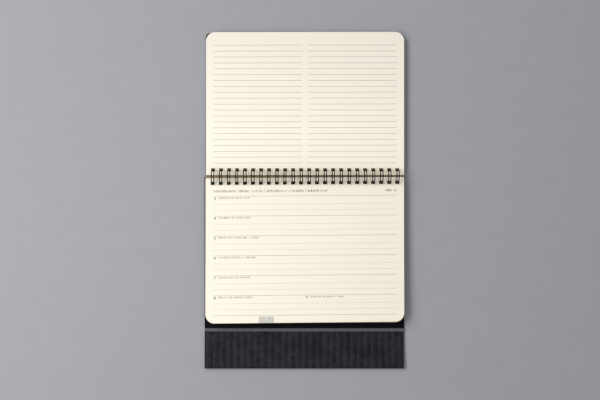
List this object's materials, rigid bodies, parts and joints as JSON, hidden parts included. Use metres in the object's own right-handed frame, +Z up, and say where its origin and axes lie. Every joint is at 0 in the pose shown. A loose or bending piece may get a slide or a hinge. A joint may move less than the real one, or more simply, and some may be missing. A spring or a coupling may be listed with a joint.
{
  "type": "desk calendar",
  "caption": "Open wire-bound desk calendar with board covers, two stacks of ruled leaves and a fold-out closing flap that also props it up.",
  "frame": {"origin": "on the desk under the middle of the open calendar", "axes": "+X along the wire binding, +Y from the flap towards the front cover, +Z up from the desk"},
  "size_m": [0.212, 0.3562, 0.016],
  "materials": {
    "cover_wrap": "matte, fine ribs",
    "lining": "matte",
    "leaf": "matte, ivory",
    "wire": "gloss, dark bronze",
    "hinge_cloth": "matte"
  },
  "bodies": {
    "back": {"back_cover": "cover_wrap", "back_lining": "lining", "lower_pages": "leaf", "wire_binding": "wire"},
    "front": {"front_cover": "cover_wrap", "front_lining": "lining", "upper_pages": "leaf"},
    "flap": {"hinge_strip": "hinge_cloth", "flap": "cover_wrap"}
  },
  "joints": [
    {"name": "front_cover_turn", "type": "hinge", "parent": "back", "child": "front", "pos_m": [0, 0.02491, 0.008], "axis": [1, 0, 0], "range_deg": [0, 179]},
    {"name": "flap_fold", "type": "hinge", "parent": "back", "child": "flap", "pos_m": [0, -0.13549, 0.0003], "axis": [-1, 0, 0], "range_deg": [-97, 90]}
  ]
}
